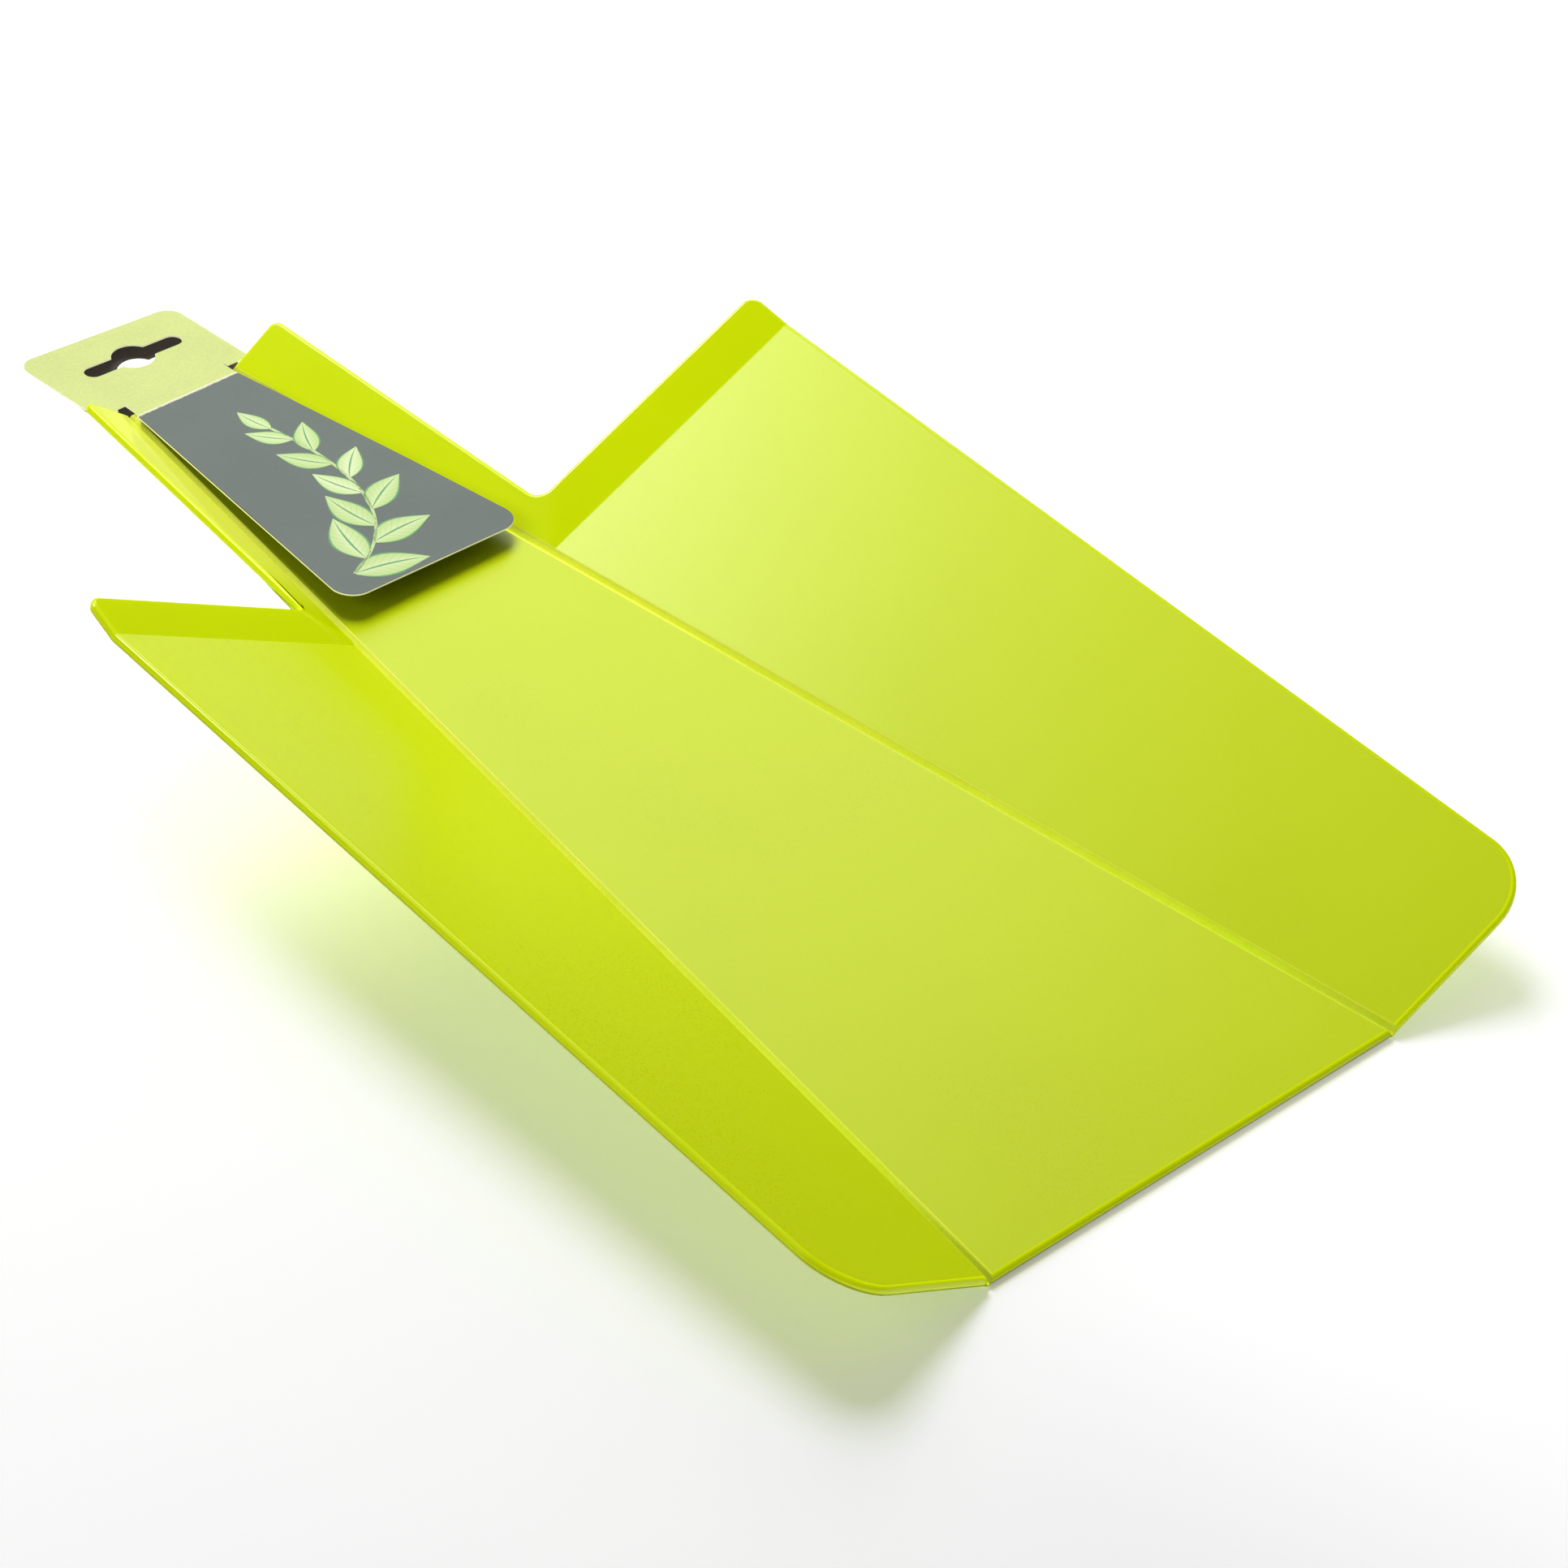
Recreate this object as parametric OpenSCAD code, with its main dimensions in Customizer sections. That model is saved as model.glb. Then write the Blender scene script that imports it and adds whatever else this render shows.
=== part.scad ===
/* [Board] */
// Length of the cutting area, from the front edge to the crease of the rear lips
board_len = 280; // [240:1:340]
// Width of the whole board when it is pressed flat
board_w = 256.5; // [220:0.5:300]
// Thickness of the moulding
board_t = 2.6; // [2.2:0.1:3.4]
// Width of the centre panel at the front edge, between the two fold lines
centre_front_w = 142.8; // [120:0.2:160]
// Width of the centre panel at the lip crease, between the two fold lines
centre_rear_w = 69; // [60:0.2:80]

/* [Corners] */
// Radius of the large front corners of the wings
front_corner_r = 17; // [6:0.5:24]
// Radius of the small rear outer corners of the wings
rear_corner_r = 4; // [2:0.5:8]
// Radius of the inner corner between a rear lip and its handle flange
inner_corner_r = 5; // [2:0.5:8]
// Radius of the corner at the end of a handle flange
flange_corner_r = 3; // [1:0.5:6]

/* [Rear lips] */
// Width of the upturned lip behind each wing
lip_w = 13.8; // [8:0.2:18]
// Rise of the lip above the plane of its wing, in degrees
lip_rise = 12; // [6:1:20]

/* [Handle] */
// Length of the handle, from the lip crease to its end
handle_len = 120.7; // [95:0.1:150]
// Width of a handle flange where it leaves the rear lip
flange_root_w = 11.6; // [8:0.1:16]
// Width of a handle flange at the end of the handle
flange_end_w = 19.6; // [14:0.1:24]
// Rise of the flange above the plane of its wing, in degrees
flange_rise = 10; // [6:1:14]

/* [Living hinges] */
// Thickness of the thin web that bends
web_t = 0.6; // [0.4:0.05:0.8]
// Width of the groove along the web
groove_floor_w = 1.2; // [0.8:0.1:1.6]
// Width of the groove at the cutting surface when the board is flat
groove_top_w = 3.5; // [3.3:0.1:5]
// Angle of the left wing above the centre panel, in degrees
left_fold = 28.5; // [5:0.5:60]
// Angle of the right wing above the centre panel, in degrees
right_fold = 27; // [5:0.5:60]

/* [Hang card] */
// Thickness of the card
card_t = 0.45; // [0.3:0.05:0.6]
// Length of the front flap that lies over the handle
flap_len = 106.8; // [80:0.1:112]
// Width of the front flap at its free end
flap_front_w = 63.5; // [44:0.5:66]
// Width of the front flap at the crease
flap_neck_w = 35.2; // [28:0.2:36]
// Radius of the corners at the free end of the front flap
flap_corner_r = 6.5; // [2:0.5:9]
// Slope of the front flap, rising from the crease to its free end, in degrees
flap_slope = 2.1; // [1:0.1:5]
// Distance of the crease in front of the end of the handle
crease_setback = 4.2; // [2:0.1:6]
// Height of the crease above the top of the handle
crease_height = 2.2; // [1.4:0.1:4]
// Gap in the card along the crease, where the flap bends
crease_gap = 0.1; // [0.05:0.05:0.2]
// Length of the header, from the crease to its far fold
header_len = 41; // [38:0.5:55]
// Width of the header next to the handle
header_near_w = 52.4; // [47:0.2:60]
// Width of the header at its far fold
header_far_w = 55.2; // [42:0.2:58]
// Radius of the corners at the far fold
header_corner_r = 5; // [3:0.5:8]
// Slope of the header, falling from the crease to its far fold, in degrees
header_slope = 3.4; // [3:0.1:5.5]
// Distance that the back of the card is narrower than the front, on each side
back_inset = 2.2; // [1:0.1:4]
// Length of the back flap under the handle
back_flap_len = 72; // [50:1:100]
// Length over which the back rises from the handle to the header
back_rise_len = 8; // [6:0.5:12]
// Length over which the back lies against the header at the far fold
back_lap_len = 3.4; // [2:0.2:5]
// Gap between the end of the handle and the shoulders of the header
shoulder_gap = 0.5; // [0.4:0.1:2]
// Width of the notch beside each end of the crease
notch_w = 3.2; // [2:0.2:5]
// Depth of those notches beyond the shoulders
notch_depth = 1.4; // [1:0.2:3]

/* [Hang slot] */
// Length of the hang slot
slot_len = 33; // [28:0.5:36]
// Width of the arms of the hang slot
slot_w = 4.4; // [3:0.1:5]
// Diameter of the round middle of the hang slot
slot_hole_d = 11.5; // [9:0.5:13]
// Distance from the crease to the middle of the hang slot
slot_dist = 25.7; // [24:0.1:30]
// Distance that the slot in the back lies nearer the handle than the one in front
slot_back_shift = 2.5; // [0:0.5:4]

/* [Hidden] */
$fn = 64;

// Overrun of every cutter past the solid that it cuts
over = 2;

// Colours of the moulding and of the card
board_colour = "#c6da2a";
web_colour = "#dcec4a";
header_colour = "#e4f3a0";
flap_colour = "#8c9694";
back_colour = "#45403a";

// Lengths along the board: the origin is under the middle of the cutting area
front_y = -board_len / 2;
crease_y = board_len / 2;
handle_end_y = crease_y + handle_len;
rear_y = crease_y + lip_w;

// The straight fold line runs from the front edge through the crease to the end of the handle
fold_taper = (centre_front_w - centre_rear_w) / 2 / board_len;
fold_skew = atan(fold_taper);
function fold_x(y) = centre_rear_w / 2 - (y - crease_y) * fold_taper;

// A size that spans the whole board, for the cutters
reach = board_len + handle_len + header_len;

// Slope of a groove bank, as width gained for each unit of height
bank_flare = (groove_top_w - groove_floor_w) / 2 / (board_t - web_t);

// Flat outline of the right wing, with its rear lip and handle flange
flange_root_x = fold_x(rear_y) + flange_root_w / cos(fold_skew);
flange_end_x = fold_x(handle_end_y) + flange_end_w / cos(fold_skew);
wing_points = [
    [fold_x(front_y), front_y],
    [board_w / 2, front_y],
    [board_w / 2, rear_y],
    [flange_root_x, rear_y],
    [flange_end_x, handle_end_y],
    [fold_x(handle_end_y), handle_end_y],
];
wing_radii = [0, front_corner_r, rear_corner_r, inner_corner_r, flange_corner_r, 0];

// Heights and places along the card
card_crease_y = handle_end_y - crease_setback;
card_crease_z = board_t + crease_height;
header_far_y = card_crease_y + header_len;
header_far_z = card_crease_z - header_len * tan(header_slope);
shoulder_y = handle_end_y + shoulder_gap;
slot_y = card_crease_y + slot_dist;
notch_y = shoulder_y + notch_depth;
back_start_y = handle_end_y - back_flap_len;

function unit(v) = v / norm(v);
function turn(a, p, b) = (p.x - a.x) * (b.y - p.y) - (p.y - a.y) * (b.x - p.x);
function before(pts, i) = pts[(i + len(pts) - 1) % len(pts)];
function after(pts, i) = pts[(i + 1) % len(pts)];
function half_angle(a, p, b) = acos(unit(a - p) * unit(b - p)) / 2;
function tangent_on(p, q, r, h) = p + unit(q - p) * r / tan(h);
function arc_centre(a, p, b, r) = p + unit(unit(a - p) + unit(b - p)) * r / sin(half_angle(a, p, b));

// A flat outline whose corners are true arcs, given counterclockwise with one radius for each point
module rounded_outline(pts, radii) {
    count = len(pts);
    corners = [for (i = [0 : count - 1])
        let (a = before(pts, i), p = pts[i], b = after(pts, i), h = half_angle(a, p, b))
        each (radii[i] > 0
            ? [tangent_on(p, a, radii[i], h), tangent_on(p, b, radii[i], h)]
            : [p])];
    difference() {
        union() {
            polygon(corners);
            for (i = [0 : count - 1])
                if (radii[i] > 0 && turn(before(pts, i), pts[i], after(pts, i)) > 0)
                    translate(arc_centre(before(pts, i), pts[i], after(pts, i), radii[i]))
                        circle(radii[i]);
        }
        for (i = [0 : count - 1])
            if (radii[i] > 0 && turn(before(pts, i), pts[i], after(pts, i)) < 0)
                translate(arc_centre(before(pts, i), pts[i], after(pts, i), radii[i]))
                    circle(radii[i]);
    }
}

// A profile drawn in Y and Z, run across the board along X
module run_across(width) {
    translate([-width / 2, 0, 0])
        rotate([90, 0, 90])
            linear_extrude(width)
                children();
}

// A profile drawn outwards and up from the fold line, run along that line
module run_along_fold() {
    translate([fold_x(crease_y), crease_y, 0])
        rotate([0, 0, fold_skew])
            translate([0, reach, 0])
                rotate([90, 0, 0])
                    linear_extrude(2 * reach)
                        children();
}

// The right side as it is, or the left side as its mirror image
module on_side(side) {
    if (side > 0)
        children();
    else
        mirror([1, 0, 0])
            children();
}

// Turns a flat right wing up about its fold line, in the plane of the web's upper face
module fold_up(angle) {
    translate([fold_x(crease_y), crease_y, web_t])
        rotate(a = angle, v = [sin(fold_skew), -cos(fold_skew), 0])
            translate([-fold_x(crease_y), -crease_y, -web_t])
                children();
}

// Everything inward of the outer bank of the groove
module bank_profile() {
    top_z = board_t + board_w / 2 * tan(flange_rise);
    polygon([
        [-reach, -over],
        [groove_floor_w / 2, -over],
        [groove_floor_w / 2, web_t],
        [groove_floor_w / 2 + (top_z - web_t) * bank_flare, top_z],
        [-reach, top_z],
    ]);
}

// Everything under a surface that is level as far as the lip crease and then rises with the lip
module under_lip(level, crease, depth) {
    end_y = handle_end_y + over;
    run_across(2 * reach)
        polygon([
            [front_y - over, -depth],
            [end_y, -depth],
            [end_y, level + (end_y - crease) * tan(lip_rise)],
            [crease, level],
            [front_y - over, level],
        ]);
}

// Everything under a surface that rises from the fold line with the handle flange
module under_flange(level, crease_d, depth) {
    end_d = board_w / 2;
    run_along_fold()
        polygon([
            [-over, -depth],
            [end_d, -depth],
            [end_d, level + (end_d - crease_d) * tan(flange_rise)],
            [crease_d, level],
            [-over, level],
        ]);
}

// The lip and the flange meet in a mitre, because each point takes the lower of their two heights
module lower_of_both(level, crease_shift, depth) {
    intersection() {
        under_lip(level, crease_y + crease_shift * tan(lip_rise / 2), depth);
        under_flange(level, crease_shift * tan(flange_rise / 2), depth);
    }
}

module wing_sheet() {
    difference() {
        lower_of_both(board_t, 0, over);
        lower_of_both(0, board_t, 2 * over);
    }
}

module flat_wing() {
    difference() {
        intersection() {
            translate([0, 0, -over])
                linear_extrude(board_w)
                    rounded_outline(wing_points, wing_radii);
            wing_sheet();
        }
        run_along_fold()
            bank_profile();
    }
}

module wing(side, angle) {
    color(board_colour)
        on_side(side)
            fold_up(angle)
                flat_wing();
}

// Length of the fold, between the front edge and the end of the handle
module fold_span() {
    translate([-reach, front_y, -over])
        cube([2 * reach, handle_end_y - front_y, board_w]);
}

// A point on the wing's half of the web, at a distance out from the fold and down from its top
function turned_up(out, down, angle) = [
    out * cos(angle) + down * sin(angle),
    web_t + out * sin(angle) - down * cos(angle)
];

// The web lies flat on the centre panel's side, bends round the fold line and turns up with the wing
module web_profile(angle) {
    half_w = groove_floor_w / 2;
    flat_half = [[0, web_t], [-half_w, web_t], [-half_w, 0]];
    turned_half = [turned_up(half_w, web_t, angle), turned_up(half_w, 0, angle)];
    intersection() {
        polygon([each flat_half, [web_t * tan(angle / 2), 0], each turned_half]);
        union() {
            polygon([each flat_half, [0, 0], turned_up(0, web_t, angle), each turned_half]);
            translate([0, web_t])
                circle(web_t);
        }
    }
}

module hinge_web(side, angle) {
    color(web_colour)
        on_side(side)
            intersection() {
                run_along_fold()
                    web_profile(angle);
                fold_span();
            }
}

// Flat strip between the two grooves, from one place along the board to another
module centre_strip(from_y, to_y) {
    color(board_colour)
        difference() {
            linear_extrude(board_t)
                polygon([
                    [fold_x(from_y), from_y],
                    [fold_x(to_y), to_y],
                    [-fold_x(to_y), to_y],
                    [-fold_x(from_y), from_y],
                ]);
            for (side = [-1, 1])
                on_side(side)
                    run_along_fold()
                        mirror([1, 0])
                            bank_profile();
        }
}

// Cutting area between the wings
module centre_panel() {
    centre_strip(front_y, crease_y);
}

// The centre panel runs on behind the lips as the flat floor of the handle
module handle() {
    centre_strip(crease_y, handle_end_y);
}

// Round-ended slot with a round hole in its middle, for a hook or a peg
module hang_slot() {
    arm = slot_len - slot_w;
    translate([-arm / 2, -slot_w / 2])
        square([arm, slot_w]);
    for (end = [-1, 1])
        translate([end * arm / 2, 0])
            circle(slot_w / 2);
    circle(slot_hole_d / 2);
}

// Sheet of card that falls from the crease to the far fold
module header_sheet() {
    run_across(2 * header_near_w)
        polygon([
            [card_crease_y, card_crease_z],
            [card_crease_y, card_crease_z - card_t],
            [header_far_y, header_far_z - card_t],
            [header_far_y, header_far_z],
        ]);
}

module card_header() {
    outline = [
        [flap_neck_w / 2, card_crease_y],
        [flap_neck_w / 2, notch_y],
        [flap_neck_w / 2 + notch_w, notch_y],
        [flap_neck_w / 2 + notch_w, shoulder_y],
        [header_near_w / 2, shoulder_y],
        [header_far_w / 2, header_far_y],
    ];
    radii = [0, 0, 0, 0, 0, header_corner_r];
    count = len(outline);
    whole = [
        for (p = outline) p,
        for (i = [count - 1 : -1 : 0]) [-outline[i].x, outline[i].y],
    ];
    whole_radii = [
        for (r = radii) r,
        for (i = [count - 1 : -1 : 0]) radii[i],
    ];
    color(header_colour)
        intersection() {
            header_sheet();
            linear_extrude(board_w)
                difference() {
                    rounded_outline(whole, whole_radii);
                    translate([0, slot_y])
                        hang_slot();
                }
        }
}

module card_front_flap() {
    free_y = card_crease_y - flap_len;
    butt_y = card_crease_y - crease_gap;
    rise = flap_len * tan(flap_slope);
    color(flap_colour)
        intersection() {
            run_across(2 * flap_front_w)
                polygon([
                    [butt_y, card_crease_z],
                    [free_y, card_crease_z + rise],
                    [free_y, card_crease_z + rise - card_t],
                    [butt_y, card_crease_z - card_t],
                ]);
            linear_extrude(board_w)
                rounded_outline(
                    [
                        [-flap_front_w / 2, free_y],
                        [flap_front_w / 2, free_y],
                        [flap_neck_w / 2, butt_y],
                        [-flap_neck_w / 2, butt_y],
                    ],
                    [flap_corner_r, flap_corner_r, 0, 0]
                );
        }
}

// Back of the card: it lies under the handle and turns up to meet the header at the far fold
module back_sheet() {
    lap_y = header_far_y - back_lap_len;
    rise_y = lap_y - back_rise_len;
    lap_z = header_far_z + back_lap_len * tan(header_slope) - card_t;
    run_across(2 * header_near_w)
        polygon([
            [back_start_y, 0],
            [back_start_y, -card_t],
            [rise_y, -card_t],
            [lap_y, lap_z - card_t],
            [header_far_y, header_far_z - 2 * card_t],
            [header_far_y, header_far_z - card_t],
            [lap_y, lap_z],
            [rise_y, 0],
        ]);
}

module card_back() {
    color(back_colour)
        intersection() {
            back_sheet();
            translate([0, 0, -over])
                linear_extrude(board_w)
                    difference() {
                        union() {
                            rounded_outline(
                                [
                                    [-header_near_w / 2 + back_inset, shoulder_y],
                                    [header_near_w / 2 - back_inset, shoulder_y],
                                    [header_far_w / 2 - back_inset, header_far_y],
                                    [-header_far_w / 2 + back_inset, header_far_y],
                                ],
                                [0, 0, header_corner_r, header_corner_r]
                            );
                            rounded_outline(
                                [
                                    [-flap_neck_w / 2, back_start_y],
                                    [flap_neck_w / 2, back_start_y],
                                    [flap_neck_w / 2, notch_y],
                                    [-flap_neck_w / 2, notch_y],
                                ],
                                [flap_corner_r, flap_corner_r, 0, 0]
                            );
                        }
                        translate([0, slot_y - slot_back_shift])
                            hang_slot();
                    }
        }
}

centre_panel();
handle();
wing(-1, left_fold);  // left_wing
wing(1, right_fold);  // right_wing
hinge_web(-1, left_fold);  // left_hinge_web
hinge_web(1, right_fold);  // right_hinge_web
card_header();
card_front_flap();
card_back();
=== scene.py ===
import math

import bmesh
import bpy
from mathutils import Matrix, Vector
from mathutils.geometry import delaunay_2d_cdt


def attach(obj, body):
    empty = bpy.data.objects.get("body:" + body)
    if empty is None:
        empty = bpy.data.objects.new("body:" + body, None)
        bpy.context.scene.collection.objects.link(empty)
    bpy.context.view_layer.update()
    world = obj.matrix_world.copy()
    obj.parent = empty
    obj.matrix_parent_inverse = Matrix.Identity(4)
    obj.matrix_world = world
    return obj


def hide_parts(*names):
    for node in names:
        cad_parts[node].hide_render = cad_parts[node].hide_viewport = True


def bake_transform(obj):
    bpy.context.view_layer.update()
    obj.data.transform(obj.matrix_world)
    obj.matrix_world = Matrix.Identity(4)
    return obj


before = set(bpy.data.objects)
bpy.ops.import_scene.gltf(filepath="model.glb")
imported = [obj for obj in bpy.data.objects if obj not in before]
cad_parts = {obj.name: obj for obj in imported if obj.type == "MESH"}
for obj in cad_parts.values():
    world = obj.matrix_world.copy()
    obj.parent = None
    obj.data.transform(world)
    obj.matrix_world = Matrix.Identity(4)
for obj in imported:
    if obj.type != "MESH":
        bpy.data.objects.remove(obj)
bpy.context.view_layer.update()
mm = 0.001

camera = dict(
    lens=129.906,  # on a 36 mm sensor
    place=(-0.80744, -0.77284, 0.93418),
    right=(0.7326284, -0.6773637, 0.0665887),
    up=(0.3908754, 0.4988120, 0.7735651),
)


def addCamera():
    data = bpy.data.cameras.new("camera")
    data.sensor_width = 36
    data.lens = camera["lens"]
    data.clip_start = 0.1
    data.clip_end = 20
    thing = bpy.data.objects.new("camera", data)
    bpy.context.scene.collection.objects.link(thing)
    right = Vector(camera["right"]).normalized()
    back = right.cross(Vector(camera["up"])).normalized()
    turn = Matrix((right, back.cross(right), back)).transposed().to_4x4()
    thing.matrix_world = Matrix.Translation(camera["place"]) @ turn
    bpy.context.scene.camera = thing


addCamera()
print("camera in place")


# A socket that Python's own operators work on, in shader and geometry trees alike
class Value:
    def __init__(self, graph, socket):
        self.graph = graph
        self.socket = socket

    def maths(self, operation, *others):
        inputs = dict(enumerate((self,) + others))
        return self.graph.add("ShaderNodeMath", {"operation": operation}, inputs)

    def other(self, name):  # another output of the same node
        return Value(self.graph, self.socket.node.outputs[name])

    def __add__(self, v):
        return self.maths("ADD", v)

    __radd__ = __add__

    def __sub__(self, v):
        return self.maths("SUBTRACT", v)

    def __rsub__(self, v):
        return self * -1 + v

    def __mul__(self, v):
        return self.maths("MULTIPLY", v)

    __rmul__ = __mul__

    def __truediv__(self, v):
        return self.maths("DIVIDE", v)

    def __abs__(self):
        return self.maths("ABSOLUTE")

    def __gt__(self, v):
        return self.maths("GREATER_THAN", v)

    def sin(self):
        return self.maths("SINE")

    def cos(self):
        return self.maths("COSINE")

    def smooth(self, low, high):  # 0 below low, 1 above high
        inputs = {"Value": self, "From Min": low, "From Max": high}
        return self.graph.add("ShaderNodeMapRange", {"interpolation_type": "SMOOTHSTEP"}, inputs)

    def spread(self):  # noise, stretched over the whole of 0 to 1
        return self.smooth(0.3, 0.7)


class Graph:
    def __init__(self, tree):
        self.tree = tree

    def add(self, kind, settings=None, inputs=None, output=0):
        node = self.tree.nodes.new(kind)
        for key, value in (settings or {}).items():
            setattr(node, key, value)
        for key, value in (inputs or {}).items():
            if isinstance(value, Value):
                self.tree.links.new(value.socket, node.inputs[key])
            else:
                node.inputs[key].default_value = value
        return None if output is None else Value(self, node.outputs[output])

    def mix(self, share, a, b):
        a, b = ((*v, 1) if isinstance(v, tuple) else v for v in (a, b))
        return self.add("ShaderNodeMix", {"data_type": "RGBA"}, {0: share, 6: a, 7: b}, output=2)

    def axis(self, place, name):  # one of a place's three coordinates
        return self.add("ShaderNodeSeparateXYZ", None, {"Vector": place}).other(name)


def linear(red, green, blue):  # from the numbers a picture editor shows
    return tuple((c / 255) ** 2.2 for c in (red, green, blue))


# A material whose colour, roughness and fine bump come from a function, which may glow with painted light,
# and whose other values are plain.
# Shadow rays see it as clear, by the tint in passes, and clearing makes it clearer still at some places.
def makeMaterial(name, paint, shine, passes=None, glow=0, clearing=None):
    material = bpy.data.materials.new(name)
    material.use_nodes = True
    tree = material.node_tree
    tree.nodes.clear()
    graph = Graph(tree)
    place = graph.add("ShaderNodeTexCoord", output="Object")
    colour, roughness, height, depth = paint(graph, place)
    bump = graph.add("ShaderNodeBump", None, {"Height": height, "Distance": depth})
    inputs = {"Base Color": colour, "Roughness": roughness, "Normal": bump, **shine}
    if glow:  # painted light: a glow of a share of its own colour, the same all over or worked out at each place
        share = glow(graph, place) if callable(glow) else glow
        inputs["Emission Color"] = graph.mix(share, (0.0, 0.0, 0.0), colour)
        inputs["Emission Strength"] = 1.0
    shader = graph.add("ShaderNodeBsdfPrincipled", None, inputs)
    if passes:
        lamp = graph.add("ShaderNodeLightPath", output="Is Shadow Ray")
        clear = graph.add("ShaderNodeBsdfTransparent", None, {"Color": (*passes, 1)})
        if clearing:
            white = graph.add("ShaderNodeBsdfTransparent")
            inputs = {0: clearing(graph, place), 1: clear, 2: white}
            clear = graph.add("ShaderNodeMixShader", None, inputs)
        shader = graph.add("ShaderNodeMixShader", None, {0: lamp, 1: shader, 2: clear})
    graph.add("ShaderNodeOutputMaterial", None, {"Surface": shader}, output=None)
    return material


# A value that changes from front to rear between two places, and may differ on the left and on the right
def alongBoard(fromY, toY, left, right=None):
    def value(graph, place):
        along = graph.axis(place, "Y").smooth(fromY, toY)
        first, second = (along * (rear - front) + front for front, rear in (left, right or left))
        isRight = graph.axis(place, "X") > 0
        return first * (1 - isRight) + second * isRight
    return value


limePlastic = dict(
    colour=linear(200, 219, 3),
    lighter=linear(240, 239, 114),  # a paler lime: a faint tint in the grain, painted reflection on the left flange, and painted light on the hinges, where the moulding is thin and has been bent
    deep=linear(104, 108, 10), paintedShadeShare=0.8,  # painted shade, for where light hardly gets
    drift=0.015,  # how much the colour changes from cloud to cloud
    satin=0.26,  # least roughness of the cutting area
    polished=0.16,  # roughness of the lips, the handle and the edges
    worked=0.42,  # roughness of the hinges
    # sizes of the marks, in metres
    satinClouds=0.09, polishedClouds=0.06, hingeClouds=0.02, ripple=0.012, grain=0.00055, crazing=0.0009,
    grainTint=0.03, grainRough=0.06, cloudRough=0.02, rippleRough=0.05, crazingRough=0.1,
    grainDepth=0.00002, rippleDepth=0.00003,
    # painted light: how much lighter the hinges are painted: everywhere, by crazing, by cloud, and towards
    # the rear
    hingePaintedLight=(0.1, 0.15, 0.1, 0.35), hingePaintedLightY=(-0.14, 0.10),
    # painted light: a glow of the plastic's own colour, for light that the clear plastic carries to a place
    # or lets through from behind, and for highlights on its rounded edges
    rimGlow=0.28, frontTopGlow=0.26, frontSideGlow=0.28,
    # where each changes along the board, and its values at the front and at the rear: left, then right
    wingGlow=(-0.12, 0.12, (0.0, 0.12), (0.07, 0.12)),
    hingeGlow=(-0.14, 0.10, (0.26, 0.15)),
    browGlow=(-0.139, -0.125, (0.40, 0.16)),
    sideGlow=(-0.139, -0.125, (0.48, 0.30)),
    lipGlow=(0.143, 0.180, (0.10, 0.25), (0.17, 0.22)),
    # painted reflection of the bright room, on the left flange
    lipPaintedReflection=(0.150, 0.190, (0.0, 0.42), (0.0, 0.0)),
    # what a lamp's light keeps as it passes a face, and how much more passes towards the rear
    passes=(0.47, 0.55, 0.0), underPasses=(0.02, 0.02, 0.02),
    frontTopPasses=(0.95, 0.97, 0.8), frontSidePasses=(0.9, 0.93, 0.6), frontLowPasses=(0.30, 0.27, 0.0),
    clearing=(0.03, 0.13, (0.0, 0.94)),
    refraction=1.49,
)


def noiseAt(graph, place, size, detail=2.0):  # about 0.5, with marks of one size in metres
    inputs = {"Vector": place, "Scale": 1 / size, "Detail": detail, "Roughness": 0.5}
    return graph.add("ShaderNodeTexNoise", None, inputs, output="Fac")


def driftingLime(graph, clouds):
    lime = limePlastic
    darker, brighter = (tuple(c * (1 + k) for c in lime["colour"]) for k in (-lime["drift"], lime["drift"]))
    return graph.mix(clouds, darker, brighter)


def paintCuttingArea(graph, place):
    lime = limePlastic
    clouds = noiseAt(graph, place, lime["satinClouds"]).spread()
    grain = noiseAt(graph, place, lime["grain"])
    tint = grain.smooth(0.35, 0.65) * lime["grainTint"]
    colour = graph.mix(tint, driftingLime(graph, clouds), lime["lighter"])
    roughness = (clouds - 0.5) * lime["cloudRough"] + grain * lime["grainRough"] + lime["satin"]
    return colour, roughness, grain, lime["grainDepth"]


def paintPolished(graph, place):
    lime = limePlastic
    clouds = noiseAt(graph, place, lime["polishedClouds"]).spread()
    ripple = noiseAt(graph, place, lime["ripple"])
    roughness = (ripple - 0.5) * lime["rippleRough"] + lime["polished"]
    return driftingLime(graph, clouds), roughness, ripple, lime["rippleDepth"]


def paintLipWithReflection(graph, place):  # painted reflection: the left flange is painted paler, for the bright room it mirrors
    colour, *others = paintPolished(graph, place)
    share = alongBoard(*limePlastic["lipPaintedReflection"])(graph, place)
    return (graph.mix(share, colour, limePlastic["lighter"]), *others)


# Painted shade: the polished colour darkened, for the foot of the front edge where light hardly gets
def paintPaintedShade(graph, place):
    colour, *others = paintPolished(graph, place)
    return (graph.mix(limePlastic["paintedShadeShare"], colour, limePlastic["deep"]), *others)


# Painted light: the hinges are painted paler, spread by crazing and cloud and strongest towards the rear
def paintHinge(graph, place):
    lime = limePlastic
    crazing = noiseAt(graph, place, lime["crazing"], 3.0)
    clouds = noiseAt(graph, place, lime["hingeClouds"])
    along = graph.axis(place, "Y").smooth(*lime["hingePaintedLightY"])
    everywhere, byCrazing, byCloud, byPlace = lime["hingePaintedLight"]
    share = crazing.spread() * byCrazing + clouds.spread() * byCloud + along * byPlace + everywhere
    colour = graph.mix(share, lime["colour"], lime["lighter"])
    return colour, crazing * lime["crazingRough"] + lime["worked"], crazing, lime["rippleDepth"]


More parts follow.
